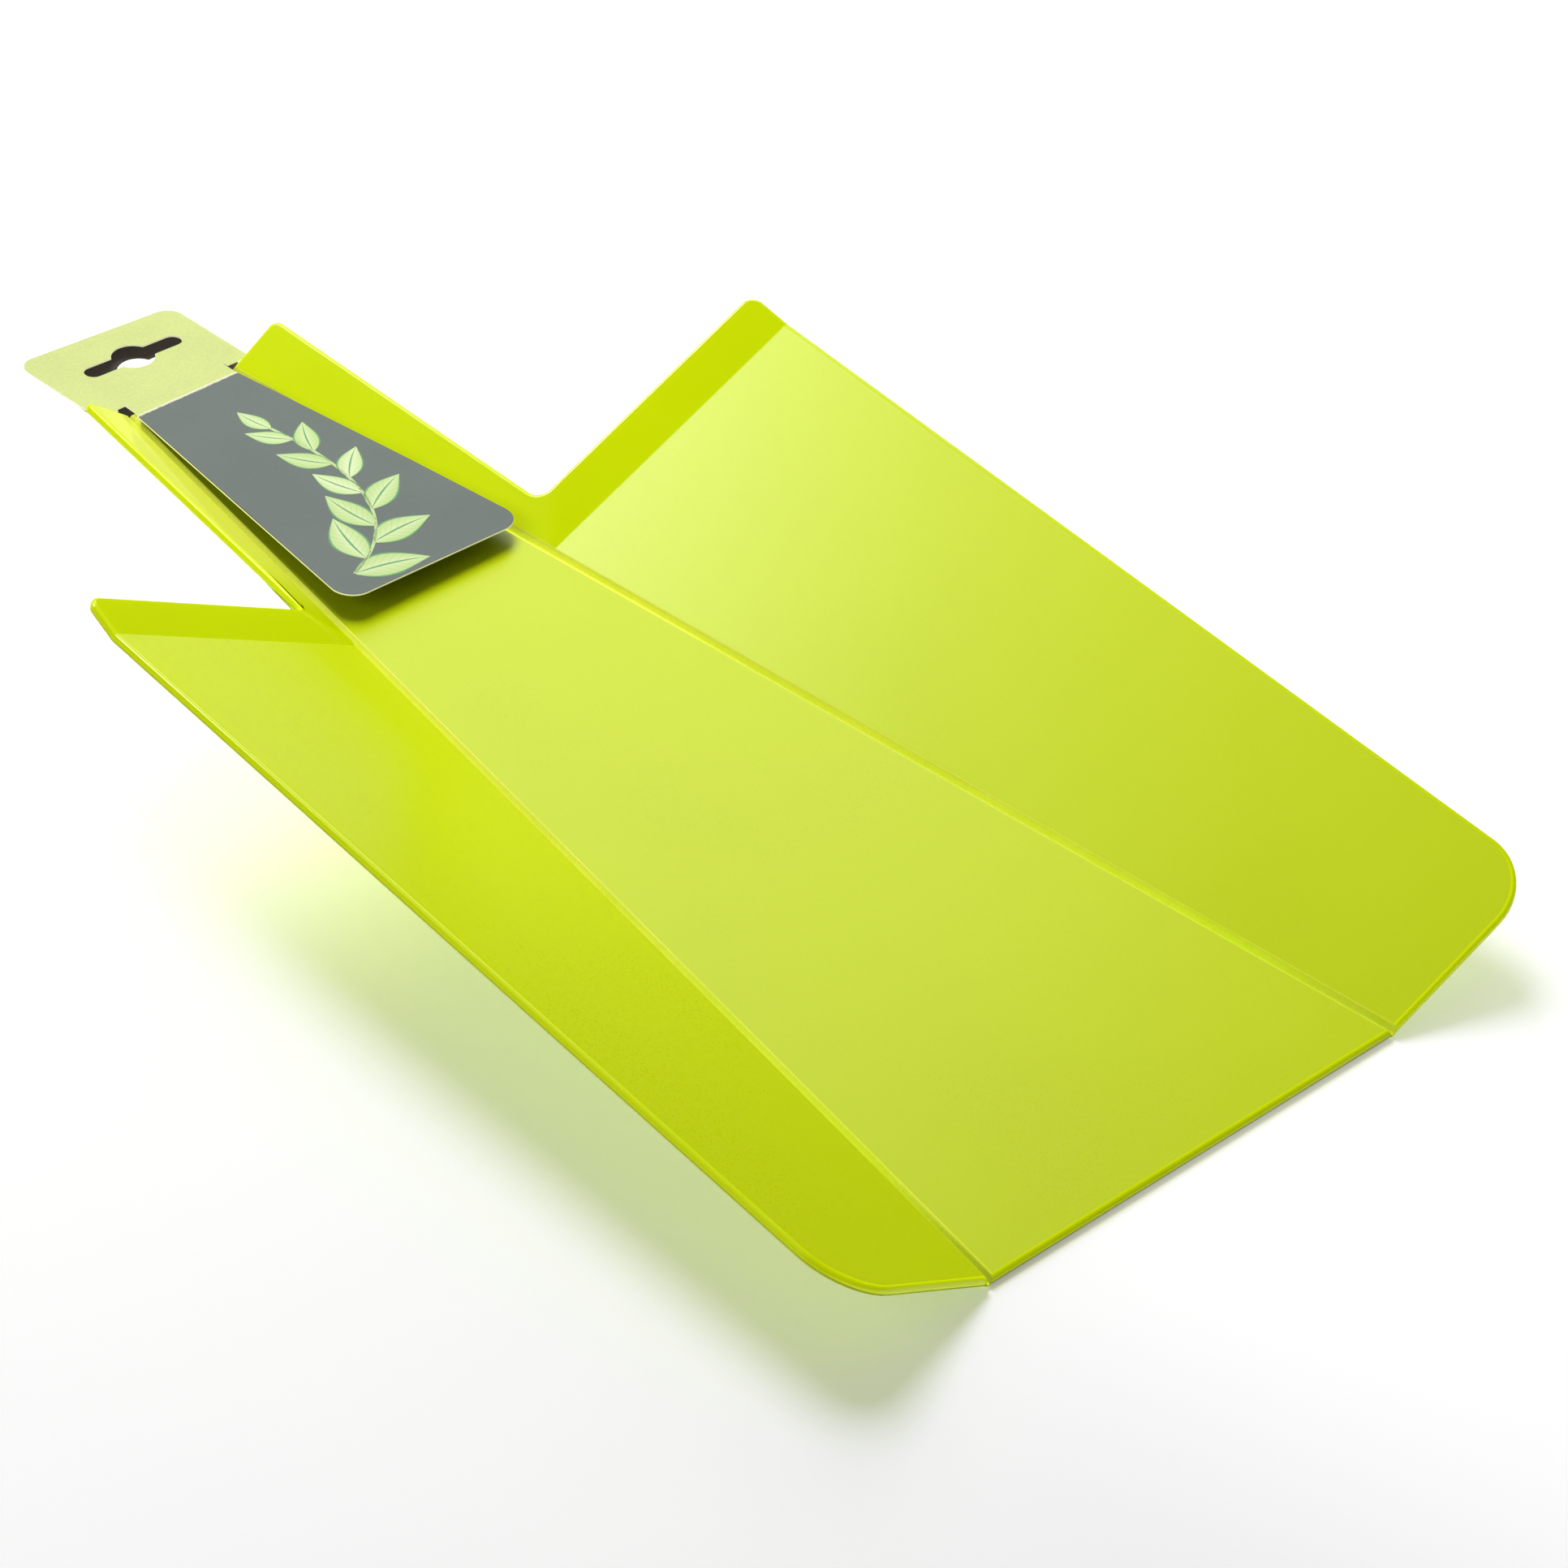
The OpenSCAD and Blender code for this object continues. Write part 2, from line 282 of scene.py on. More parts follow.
cardStock = dict(
    header=linear(200, 212, 126),
    flap=linear(98, 107, 103),
    core=linear(238, 236, 205), coreGlow=0.4,  # the cut edge, which glows with painted light
    inside=linear(56, 50, 44),
    fibre=0.0011, clouds=0.025,  # sizes of the marks, in metres
    shades=(0.93, 1.05),  # darkest and brightest, as a share of the colour
    rough=0.36, inkRough=0.34, fibreRough=0.12, fibreDepth=0.00002,
    # the flap's end at the crease, where the print has rubbed off
    wornY=0.2564, wornReach=(0.0010, 0.0004), wornJitter=0.0008, wornShare=0.8,
    passes=(0.93, 0.93, 0.92),
    specular=0.4,
)


def paintCard(colour, wornY=None):
    def paint(graph, place):
        stock = cardStock
        fibre = noiseAt(graph, place, stock["fibre"], 3.0)
        clouds = noiseAt(graph, place, stock["clouds"])
        dark, light = (tuple(c * k for c in colour) for k in stock["shades"])
        shade = graph.mix(fibre.spread() * 0.5 + clouds.spread() * 0.5, dark, light)
        if wornY:
            start, end = stock["wornReach"]
            along = graph.axis(place, "Y") + (fibre - 0.5) * stock["wornJitter"]
            worn = along.smooth(wornY - start, wornY - end)
            shade = graph.mix(worn * stock["wornShare"], shade, stock["core"])
        return shade, fibre * stock["fibreRough"] + stock["rough"], fibre, stock["fibreDepth"]
    return paint


def limeMaterial(name, paint, level, glow=0, passes=limePlastic["passes"]):
    if isinstance(glow, tuple):
        glow = alongBoard(*glow)
    shine = {"IOR": limePlastic["refraction"], "Specular IOR Level": level}
    return makeMaterial(name, paint, shine, passes, glow, alongBoard(*limePlastic["clearing"]))


def cardMaterial(name, paint, passes=None, glow=0):
    return makeMaterial(name, paint, {"Specular IOR Level": cardStock["specular"]}, passes, glow)


limeSatin = limeMaterial("limeCuttingArea", paintCuttingArea, 0.35)
limeWing = limeMaterial("limeWing", paintCuttingArea, 0.35, limePlastic["wingGlow"])
limePolished = limeMaterial("limePolished", paintLipWithReflection, 0.3, limePlastic["lipGlow"])
limeRim = limeMaterial("limeHandleEdge", paintPolished, 0.25, limePlastic["rimGlow"])
limeHinge = limeMaterial("limeHinge", paintHinge, 0.10, limePlastic["hingeGlow"])
limeBrow = limeMaterial("limeTopEdge", paintPolished, 0.5, limePlastic["browGlow"])
limeSide = limeMaterial("limeSideEdge", paintPolished, 0.4, limePlastic["sideGlow"])
limeLow = limeMaterial("limeLowerEdge", paintPolished, 0.3)
limeUnder = limeMaterial("limeUnderside", paintPolished, 0.3, passes=limePlastic["underPasses"])
# The centre's own front edge: its top and side glow with painted light, and its foot is darkened with
# painted shade where it meets the floor
limeFrontTop = limeMaterial(
    "limeFrontTop", paintPolished, 0.4, limePlastic["frontTopGlow"], limePlastic["frontTopPasses"])
limeFrontSide = limeMaterial(
    "limeFrontSide", paintPolished, 0.3, limePlastic["frontSideGlow"], limePlastic["frontSidePasses"])
limeFrontLow = limeMaterial("limeFrontLow", paintPaintedShade, 0.2, passes=limePlastic["frontLowPasses"])
cardHeaderPrint = cardMaterial("cardHeaderPrint", paintCard(cardStock["header"]), cardStock["passes"])
cardFlapPrint = cardMaterial("cardFlapPrint", paintCard(cardStock["flap"], cardStock["wornY"]))
cardCore = cardMaterial("cardCore", paintCard(cardStock["core"]), glow=cardStock["coreGlow"])
cardInside = cardMaterial("cardInside", paintCard(cardStock["inside"]), cardStock["passes"])
print("materials ready")


# The moulding's sizes, in millimetres and degrees, as in the part's source
board = dict(
    frontY=-140.0, creaseY=140.0, rearY=153.8, endY=260.7,
    halfWidth=128.25, thickness=2.6, web=0.6,
    foldXAtCrease=34.5, foldTaper=(142.8 - 69.0) / 2 / 280.0,  # half of what the centre narrows, per length
    flangeRoot=11.6, flangeEnd=19.6,
    radii=(0, 17.0, 4.0, 5.0, 3.0, 0),  # of a wing's corners, from the front end of its fold
    lipRise=12.0, flangeRise=10.0,
    grooveFloor=0.6,  # half the web's width
    bankFlare=(3.5 - 1.2) / 2 / 2.0,  # how much further out the bank is, per height
    bankRound=0.25, bankSpare=0.01,  # so that a face at the bank's very edge counts as bank
    topRound=1.25, bottomRound=0.9,
    creaseRound=0.35, mitreRound=0.06,
    leftFold=28.5, rightFold=27.0,
    # where the plates are cut into cells: across, past the crease, and along the fold
    cuts=(-90, -40, 10, 60, 110, 153.8, 175, 200, 225, 245),
    lipCuts=(0.7, 1.2, 2.0, 3.2, 4.6, 6.2, 8.0, 10.0, 12.0),
    flangeCuts=(2.2, 2.8, 3.6, 4.6, 5.8, 7.2, 8.8, 10.6, 12.6, 14.6, 16.6, 18.6),
    topSteps=(15, 30, 45, 60, 70, 80, 90), bottomSteps=(25, 45, 65),  # degrees round the edges
    nearly=0.0001,  # a level this near another counts as the same
)
foldSkew = math.atan(board["foldTaper"])
foldAxis = Vector((math.sin(foldSkew), -math.cos(foldSkew), 0))


def foldX(y):
    return board["foldXAtCrease"] - (y - board["creaseY"]) * board["foldTaper"]


def fromFold(x, y):  # distance out from the right fold line
    return (x - foldX(y)) * math.cos(foldSkew)


# A closed outline set in by its own distance on each edge, with a true arc at each corner that has a radius
def outlineRing(points, radii, insets, arcSteps=12):
    count = len(points)
    ring = []
    for i in range(count):
        a, p, b = (Vector(points[k % count]) for k in (i - 1, i, i + 1))
        inset, nextInset = insets[i - 1], insets[i]
        along, onward = (p - a).normalized(), (b - p).normalized()
        inward, nextInward = Vector((-along.y, along.x)), Vector((-onward.y, onward.x))
        start = a + inward * inset
        ahead = p + nextInward * nextInset - start
        turn = along.x * onward.y - along.y * onward.x
        corner = start + along * ((ahead.x * onward.y - ahead.y * onward.x) / turn)
        if radii[i] == 0:
            ring.append(corner)
            continue
        side = 1 if turn > 0 else -1
        radius = radii[i] - side * inset
        swing = math.acos(max(-1, min(1, along.dot(onward))))
        tangent = corner - along * (radius * math.tan(swing / 2))
        centre = tangent + inward * (side * radius)
        for k in range(arcSteps + 1):
            angle = side * swing * k / arcSteps
            spoke = tangent - centre
            ring.append(centre + Vector((spoke.x * math.cos(angle) - spoke.y * math.sin(angle),
                                         spoke.x * math.sin(angle) + spoke.y * math.cos(angle))))
    return ring


def edgeInset(z):  # how far the rounded outer edge lies inside the outline at a height
    t, top, low = board["thickness"], board["topRound"], board["bottomRound"]
    if z < low:
        return low - math.sqrt(max(0, low ** 2 - (low - z) ** 2))
    if z > t - top:
        return top - math.sqrt(max(0, top ** 2 - (z - t + top) ** 2))
    return 0


def bankInset(z):  # the groove's bank: upright beside the web, then flaring, with a soft top edge
    t, soft = board["thickness"], board["bankRound"]
    if z <= board["web"]:
        return board["grooveFloor"]
    if z <= t - soft:
        return board["grooveFloor"] + (z - board["web"]) * board["bankFlare"]
    along = 1 - math.sqrt(max(0, t - z) / soft)
    low = bankInset(t - soft)
    middle = bankInset(t - soft) + soft * board["bankFlare"]
    return (1 - along) ** 2 * low + 2 * along * (1 - along) * middle + along ** 2 * (middle + soft)


def plateLevels():
    t, top, low = board["thickness"], board["topRound"], board["bottomRound"]
    levels = [0, board["web"], low, t - top]
    levels += [low * (1 - math.cos(math.radians(a))) for a in board["bottomSteps"]]
    levels += [t - top + top * math.sin(math.radians(a)) for a in board["topSteps"]]
    return sorted(levels)


# A flat closed plate from its rings, cut into cells where it will bend
def plateMesh(points, radii, isFold, cuts):
    work = bmesh.new()
    rings = []
    for z in plateLevels():
        insets = [bankInset(z) if fold else edgeInset(z) for fold in isFold]
        rings.append([work.verts.new((p.x, p.y, z)) for p in outlineRing(points, radii, insets)])
    for low, high in zip(rings, rings[1:]):
        for k in range(len(low)):
            n = (k + 1) % len(low)
            work.faces.new((low[k], low[n], high[n], high[k]))
    work.faces.new(list(reversed(rings[0])))
    work.faces.new(rings[-1])
    for point, normal in cuts:
        geometry = work.verts[:] + work.edges[:] + work.faces[:]
        bmesh.ops.bisect_plane(work, geom=geometry, dist=1e-5, plane_co=point, plane_no=normal)
    return work


# Gives each face its finish: flat top, lip or flange, bank of a groove, rounded edge, side, or underside
def sortFaces(work, finishes, isBank):
    nearly = board["nearly"]
    top, foot = board["thickness"] - nearly, board["bottomRound"] + nearly
    brow = top - board["topRound"]
    for face in work.faces:
        heights = [v.co.z for v in face.verts]
        middle = face.calc_center_median()
        isLevel = min(heights) > top or max(heights) < nearly
        if isBank(face) and not isLevel:
            kind = "bank"
        elif middle.y > board["rearY"]:
            kind = "lip" if isLevel else "rim"
        elif min(heights) > top:
            kind = "flat" if middle.y < board["creaseY"] else "lip"
        elif max(heights) < nearly:
            kind = "under"
        elif min(heights) > brow:
            kind = "brow"
        else:
            kind = "foot" if max(heights) < foot else "side"
        face.material_index = finishes[kind]


def softRise(distance, slope):  # a level that begins to climb over a small rounding
    half = board["creaseRound"]
    climb = math.tan(math.radians(slope))
    if distance <= -half:
        return 0
    if distance >= half:
        return distance * climb
    return (distance + half) ** 2 / (4 * half) * climb


# Rise of the lip and the flange at a place: the lower of the two, run together without a mitre line
def wingRise(x, y, level):
    depth = board["thickness"] - level
    lipRise, flangeRise = board["lipRise"], board["flangeRise"]
    lip = softRise(y - board["creaseY"] - depth * math.tan(math.radians(lipRise / 2)), lipRise)
    out = fromFold(x, y) - depth * math.tan(math.radians(flangeRise / 2))
    flange = max(0, out) * math.tan(math.radians(flangeRise))
    return (lip + flange) / 2 - math.sqrt((lip - flange) ** 2 + board["mitreRound"] * lip * flange) / 2


# Turns a bmesh in millimetres into a finished piece in metres
def finishPiece(name, work, materials, body, nodes, sharpAngle=None):
    bmesh.ops.triangulate(work, faces=[f for f in work.faces if len(f.verts) > 4])
    bmesh.ops.remove_doubles(work, verts=work.verts[:], dist=1e-5)
    bmesh.ops.recalc_face_normals(work, faces=work.faces[:])
    mesh = bpy.data.meshes.new(name)
    work.to_mesh(mesh)
    work.free()
    mesh.transform(Matrix.Scale(mm, 4))
    for material in materials:
        mesh.materials.append(material)
    mesh.shade_smooth()
    thing = bpy.data.objects.new(name, mesh)
    bpy.context.scene.collection.objects.link(thing)
    if sharpAngle:
        mesh.set_sharp_from_angle(angle=math.radians(sharpAngle))
    weigh = thing.modifiers.new("normals", "WEIGHTED_NORMAL")
    weigh.mode = "FACE_AREA"
    weigh.keep_sharp = True
    useResult(thing)
    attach(thing, body)
    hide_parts(*nodes)


def useResult(thing):  # the modifiers' result becomes the plain mesh
    shown = thing.evaluated_get(bpy.context.evaluated_depsgraph_get())
    mesh = bpy.data.meshes.new_from_object(shown)
    thing.modifiers.clear()
    thing.data = mesh


def bankReach():  # how far the groove's bank goes out from the fold line
    return bankInset(board["thickness"]) + board["bankSpare"]


def lineAcross(y):
    return (0, y, 0), (0, 1, 0)


def lineAlongFold(out, side=1):
    across = Vector((math.cos(foldSkew), math.sin(foldSkew), 0))
    start = Vector((foldX(0), 0, 0)) + across * out
    return (side * start.x, start.y, 0), (side * across.x, across.y, 0)


def makeWing(name, side, angle, body, node):
    b = board
    flare = 1 / math.cos(foldSkew)
    points = [
        (foldX(b["frontY"]), b["frontY"]),
        (b["halfWidth"], b["frontY"]),
        (b["halfWidth"], b["rearY"]),
        (foldX(b["rearY"]) + b["flangeRoot"] * flare, b["rearY"]),
        (foldX(b["endY"]) + b["flangeEnd"] * flare, b["endY"]),
        (foldX(b["endY"]), b["endY"]),
    ]
    crease, half = b["creaseY"], b["creaseRound"]
    cuts = [lineAcross(crease + half * k / 2) for k in (-2, -1, 0, 1, 2)]
    cuts += [lineAcross(crease + k) for k in b["lipCuts"]]
    cuts += [lineAlongFold(k) for k in b["flangeCuts"]]
    cuts += [lineAcross(y) for y in b["cuts"]]
    work = plateMesh(points, b["radii"], (False,) * 5 + (True,), cuts)
    reach = bankReach()
    finishes = {"flat": 0, "lip": 1, "bank": 2, "brow": 3, "side": 4, "foot": 5, "under": 5, "rim": 6}
    sortFaces(work, finishes, lambda face: all(fromFold(v.co.x, v.co.y) < reach for v in face.verts))
    for v in work.verts:
        v.co.z += wingRise(v.co.x, v.co.y, v.co.z)
    pivot = Vector((b["foldXAtCrease"], crease, b["web"]))
    turn = Matrix.Rotation(math.radians(angle), 4, foldAxis)
    turn = Matrix.Translation(pivot) @ turn @ Matrix.Translation(-pivot)
    bmesh.ops.transform(work, matrix=turn, verts=work.verts[:])
    if side < 0:
        for v in work.verts:
            v.co.x = -v.co.x
    materials = [limeWing, limePolished, limeHinge, limeBrow, limeSide, limeLow, limeRim]
    finishPiece(name, work, materials, body, [node])


def makeCentre():
    b = board
    points = [
        (foldX(b["frontY"]), b["frontY"]), (foldX(b["endY"]), b["endY"]),
        (-foldX(b["endY"]), b["endY"]), (-foldX(b["frontY"]), b["frontY"]),
    ]
    cuts = [lineAcross(y) for y in sorted(b["cuts"] + (b["creaseY"],))]
    work = plateMesh(points, (0, 0, 0, 0), (True, False, True, False), cuts)
    reach = bankReach()

    def isBank(face):  # the front edge's faces also end at both folds, so their middles tell
        middle = face.calc_center_median()
        return fromFold(abs(middle.x), middle.y) > -reach

    finishes = {"flat": 0, "lip": 0, "brow": 1, "side": 2, "foot": 3, "under": 4, "bank": 5, "rim": 6}
    sortFaces(work, finishes, isBank)
    materials = [limeSatin, limeFrontTop, limeFrontSide, limeFrontLow, limeUnder, limeHinge, limeRim]
    finishPiece("boardCentre", work, materials, "centre", ["centre_panel", "handle"])


makeCentre()
makeWing("leftWing", -1, board["leftFold"], "left_side", "left_wing")
makeWing("rightWing", 1, board["rightFold"], "right_side", "right_wing")
print("moulding made")


# The webs' sizes, in millimetres
hingeWeb = dict(
    thickness=0.58, overlap=0.04,  # how far each side reaches into the plate
    rows=40, columns=16,
    inset=0.15,  # how far each end lies inside the moulding's
    spare=6.0,  # extra length, cut off square
    sharpAngle=40,
)


def addInputs(tree, sizes):
    for name, value in sizes.items():
        kind = {int: "NodeSocketInt", float: "NodeSocketFloat", tuple: "NodeSocketVector"}.get(
            type(value), "NodeSocketMaterial")
        tree.interface.new_socket(name, in_out="INPUT", socket_type=kind)
    tree.interface.new_socket("Geometry", in_out="OUTPUT", socket_type="NodeSocketGeometry")


def growObject(name, tree, sizes):  # the tree's result as a plain mesh object
    holder = bpy.data.objects.new(name, bpy.data.meshes.new(name))
    bpy.context.scene.collection.objects.link(holder)
    grow = holder.modifiers.new("grow", "NODES")
    grow.node_group = tree
    items = tree.interface.items_tree
    places = {item.name: item.identifier for item in items if item.in_out == "INPUT"}
    for key, value in sizes.items():
        grow[places[key]] = value
    useResult(holder)
    return holder


def joinParts(graph, *parts):
    both = graph.add("GeometryNodeJoinGeometry")
    for part in parts:
        graph.tree.links.new(part.socket, both.socket.node.inputs[0])
    return both


# Closes an open sheet into a thin solid below it
def thickSheet(graph, top, thickness):
    under = graph.add("GeometryNodeExtrudeMesh", None, {
        "Mesh": top, "Offset Scale": thickness * -1, "Individual": False})
    under = graph.add("GeometryNodeFlipFaces", None, {"Mesh": under})
    both = joinParts(graph, top, under)
    return graph.add("GeometryNodeMergeByDistance", None, {"Geometry": both, "Distance": 1e-6})


# A strip bent evenly round the fold line, with short straight ends that reach into the plates
def buildWebTree(sizes):
    tree = bpy.data.node_groups.new("bentWeb", "GeometryNodeTree")
    addInputs(tree, sizes)
    graph = Graph(tree)
    given = graph.add("NodeGroupInput")
    length, half, overlap, thickness, angle = (given.other(n) for n in (
        "Length", "Half Width", "Overlap", "Thickness", "Angle"))
    grid = graph.add("GeometryNodeMeshGrid", None, {
        "Size X": 1.0, "Size Y": 2.0,
        "Vertices X": given.other("Rows"), "Vertices Y": given.other("Columns")})
    place = graph.add("ShaderNodeSeparateXYZ", None, {"Vector": graph.add("GeometryNodeInputPosition")})
    out = place.other("Y") * (half + overlap)
    share = (out / half + 1) * 0.5
    bend = share.maths("MAXIMUM", 0.0).maths("MINIMUM", 1.0) * angle
    radius = half / (angle * 0.5).maths("TANGENT")
    before = (out + half).maths("MINIMUM", 0.0)
    beyond = (out - half).maths("MAXIMUM", 0.0)
    across = radius * bend.sin() - half + before + beyond * bend.cos()
    up = radius * (1 - bend.cos()) + beyond * bend.sin()
    bent = graph.add("ShaderNodeCombineXYZ", None, {"X": place.other("X") * length, "Y": across, "Z": up})
    top = graph.add("GeometryNodeSetPosition", None, {"Geometry": grid, "Position": bent})
    whole = thickSheet(graph, top, thickness)
    whole = graph.add("GeometryNodeRealizeInstances", None, {"Geometry": whole})
    whole = graph.add("GeometryNodeSetMaterial", None, {
        "Geometry": whole, "Material": given.other("Material")})
    graph.add("NodeGroupOutput", None, {0: whole}, output=None)
    return tree


def makeWeb(tree, sizes, name, side, angle, node):
    sizes = dict(sizes, Angle=math.radians(angle))
    web = growObject(name, tree, sizes)
    out = Vector((math.cos(foldSkew), math.sin(foldSkew), 0))
    middleY = (board["frontY"] + board["endY"]) / 2
    pivot = Vector((foldX(middleY), middleY, board["web"])) * mm
    turn = Matrix((foldAxis, out, Vector((0, 0, 1)))).transposed().to_4x4()
    mesh = web.data
    mesh.transform(Matrix.Translation(pivot) @ turn)
    if side < 0:
        mesh.transform(Matrix.Scale(-1, 4, (1, 0, 0)))
    work = bmesh.new()
    work.from_mesh(mesh)
    inset = hingeWeb["inset"]
    for y, facing in ((board["frontY"] + inset, -1), (board["endY"] - inset, 1)):
        geometry = work.verts[:] + work.edges[:] + work.faces[:]
        cut = bmesh.ops.bisect_plane(work, geom=geometry, dist=1e-7, plane_co=(0, y * mm, 0),
                                     plane_no=(0, facing, 0), clear_outer=True)
        edges = [g for g in cut["geom_cut"] if isinstance(g, bmesh.types.BMEdge)]
        bmesh.ops.contextual_create(work, geom=edges)
    bmesh.ops.triangulate(work, faces=[f for f in work.faces if len(f.verts) > 4])
    bmesh.ops.recalc_face_normals(work, faces=work.faces[:])
    work.to_mesh(mesh)
    work.free()
    mesh.shade_smooth()
    mesh.set_sharp_from_angle(angle=math.radians(hingeWeb["sharpAngle"]))
    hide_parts(node)
    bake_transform(web)


webSizes = {
    "Length": (board["endY"] - board["frontY"] + hingeWeb["spare"]) * mm / math.cos(foldSkew),
    "Half Width": board["grooveFloor"] * mm,
    "Overlap": hingeWeb["overlap"] * mm,
    "Thickness": hingeWeb["thickness"] * mm,
    "Angle": math.radians(board["leftFold"]),  # each web sets its own
    "Rows": hingeWeb["rows"],
    "Columns": hingeWeb["columns"],
    "Material": limeHinge,
}
webTree = buildWebTree(webSizes)
makeWeb(webTree, webSizes, "leftWeb", -1, board["leftFold"], "left_hinge_web")
makeWeb(webTree, webSizes, "rightWeb", 1, board["rightFold"], "right_hinge_web")
print("living hinges made")


# The hang card's sizes, in millimetres and degrees
card = dict(
    thickness=0.45, creaseY=256.5, creaseZ=4.8, gap=0.1,
    flapLength=106.8, flapFront=63.5, flapNeck=35.2, flapCorner=6.5, flapSlope=2.1,
    headerLength=41.0, headerNear=52.4, headerFar=55.2, headerCorner=5.0, headerSlope=3.4,
    shoulderYs=(261.7, 260.9), shoulderCorner=0.6,  # left, right
    notchY=262.6, notchWidths=(3.2, 0.6),  # left, right
    backInsets=(3.1, 0.6),  # how far the back lies inside the header's near corners: left, right
    backStartY=188.7, backRiseY=286.1, backLapY=294.1,
    slotY=281.7, backSlotY=279.0, slotLength=33.6, slotWidth=5.6, slotHole=12.6, slotSteps=12,
    # how far the card has slid or bent out of true
    aside=-0.7, flapAside=1.4, slotAside=-0.1, headerAsideNear=-1.0, headerAsideFar=-1.9,
    neckLeft=-17.6,  # as far left as the neck may lie
    headerTwist=1.6, flapTwists=(1.1, 0.35), flapBow=0.4,  # twists of the left and the right half
    # the grids of points inside the sheets, which end a little before the right and the far edge
    flapCell=3.0, headerCell=2.5, backCell=2.0, cellMargin=1,
    sharpAngle=35,
)


def slotRing(y):  # the euro slot's outline
    half, hole = card["slotWidth"] / 2, card["slotHole"] / 2
    arm = card["slotLength"] / 2 - half
    meet = math.asin(half / hole)
    steps = card["slotSteps"]
    ring = []
    for x, radius, start, sweep in (
            (-arm, half, math.pi / 2, math.pi), (0, hole, math.pi + meet, math.pi - 2 * meet),
            (arm, half, -math.pi / 2, math.pi), (0, hole, meet, math.pi - 2 * meet)):
        for k in range(steps + 1):
            angle = start + sweep * k / steps
            ring.append((x + radius * math.cos(angle) + card["slotAside"], y + radius * math.sin(angle)))
    return ring


def insideRing(x, y, ring):
    inside = False
    for (ax, ay), (bx, by) in zip(ring, ring[1:] + ring[:1]):
        if (ay > y) != (by > y) and x < (bx - ax) * (y - ay) / (by - ay) + ax:
            inside = not inside
    return inside


# A sheet of card from its flat outline and holes, laid on a shape that gives a place for x, y and depth.
# Its materials are those of its upper side, its underside and its edges.
def cardSheet(name, outline, holes, shape, materials, body, node, spacing):
    def inSheet(x, y):
        return insideRing(x, y, outline) and not any(insideRing(x, y, h) for h in holes)

    outline = [(p[0], p[1]) for p in outline]
    rings = [outline] + holes
    points, edges = [], []
    for ring in rings:
        first = len(points)
        points += [Vector(p) for p in ring]
        edges += [(first + k, first + (k + 1) % len(ring)) for k in range(len(ring))]
    xs, ys = [p[0] for p in outline], [p[1] for p in outline]
    y = min(ys) + spacing
    while y < max(ys) - card["cellMargin"]:
        x = min(xs) + spacing
        while x < max(xs) - card["cellMargin"]:
            if inSheet(x, y):
                points.append(Vector((x, y)))
            x += spacing
        y += spacing
    flat, _, triangles, origins, _, _ = delaunay_2d_cdt(points, edges, [], 0, 1e-5)
    found = {}
    for new, olds in enumerate(origins):
        for old in olds:
            found[old] = new
    work = bmesh.new()
    top = [work.verts.new(shape(p.x, p.y, 0)) for p in flat]
    low = [work.verts.new(shape(p.x, p.y, card["thickness"])) for p in flat]
    for triangle in triangles:
        if inSheet(sum(flat[k].x for k in triangle) / 3, sum(flat[k].y for k in triangle) / 3):
            work.faces.new([top[k] for k in triangle]).material_index = 0
            work.faces.new([low[k] for k in reversed(triangle)]).material_index = 1
    for a, b in edges:
        a, b = found[a], found[b]
        work.faces.new((top[b], top[a], low[a], low[b])).material_index = 2
    bmesh.ops.delete(work, geom=[v for v in work.verts if not v.link_faces], context="VERTS")
    finishPiece(name, work, materials, body, [node], card["sharpAngle"])


def headerTop(y):
    return card["creaseZ"] - (y - card["creaseY"]) * math.tan(math.radians(card["headerSlope"]))


def headerTwist(x, y):
    along = max(0, (y - card["creaseY"]) / card["headerLength"])
    return -x / (card["headerNear"] / 2) * card["headerTwist"] * along


def headerShape(x, y, depth):
    return x, y, headerTop(y) + headerTwist(x, y) - depth


def flapTop(x, y):
    along = (card["creaseY"] - card["gap"] - y) / card["flapLength"]
    rise = card["flapLength"] * math.tan(math.radians(card["flapSlope"]))
    bow = card["flapBow"] * math.sin(math.pi * max(0, min(1, along)))
    twist = -x / (card["flapFront"] / 2) * card["flapTwists"][x > 0]
    return card["creaseZ"] + (rise + twist) * along + bow


def flapShape(x, y, depth):
    along = (card["creaseY"] - y) / card["flapLength"]
    aside = card["aside"] + (card["flapAside"] - card["aside"]) * along
    return x + aside, y, flapTop(x, y) - depth


def backShape(x, y, depth):
    share = max(0, min(1, (y - card["backRiseY"]) / (card["backLapY"] - card["backRiseY"])))
    share = share * share * (3 - 2 * share)
    level = share * (headerTop(max(y, card["backRiseY"])) + headerTwist(x, y) - card["thickness"])
    return x, y, level - depth


def headerCorners():  # half widths of the header at its near and far end, and where the far end is
    return card["headerNear"] / 2, card["headerFar"] / 2, card["creaseY"] + card["headerLength"]


def makeHeader():
    c = card
    near, far, farY = headerCorners()
    outline, radii = [], []
    for side in (1, -1):
        notch, shoulderY = c["notchWidths"][side > 0], c["shoulderYs"][side > 0]
        root = max(side * c["flapNeck"] / 2 + c["aside"], c["neckLeft"])
        half = [(root, c["creaseY"]), (root, c["notchY"]), (root + side * notch, c["notchY"]),
                (root + side * notch, shoulderY), (side * near + c["headerAsideNear"], shoulderY),
                (side * far + c["headerAsideFar"], farY)]
        outline += half[::side]
        radii += [0, 0, 0, 0, c["shoulderCorner"], c["headerCorner"]][::side]
    ring = outlineRing(outline, radii, [0] * len(outline))
    cardSheet("cardHeader", ring, [slotRing(c["slotY"])], headerShape,
              [cardHeaderPrint, cardInside, cardCore],
              "centre", "card_header", c["headerCell"])


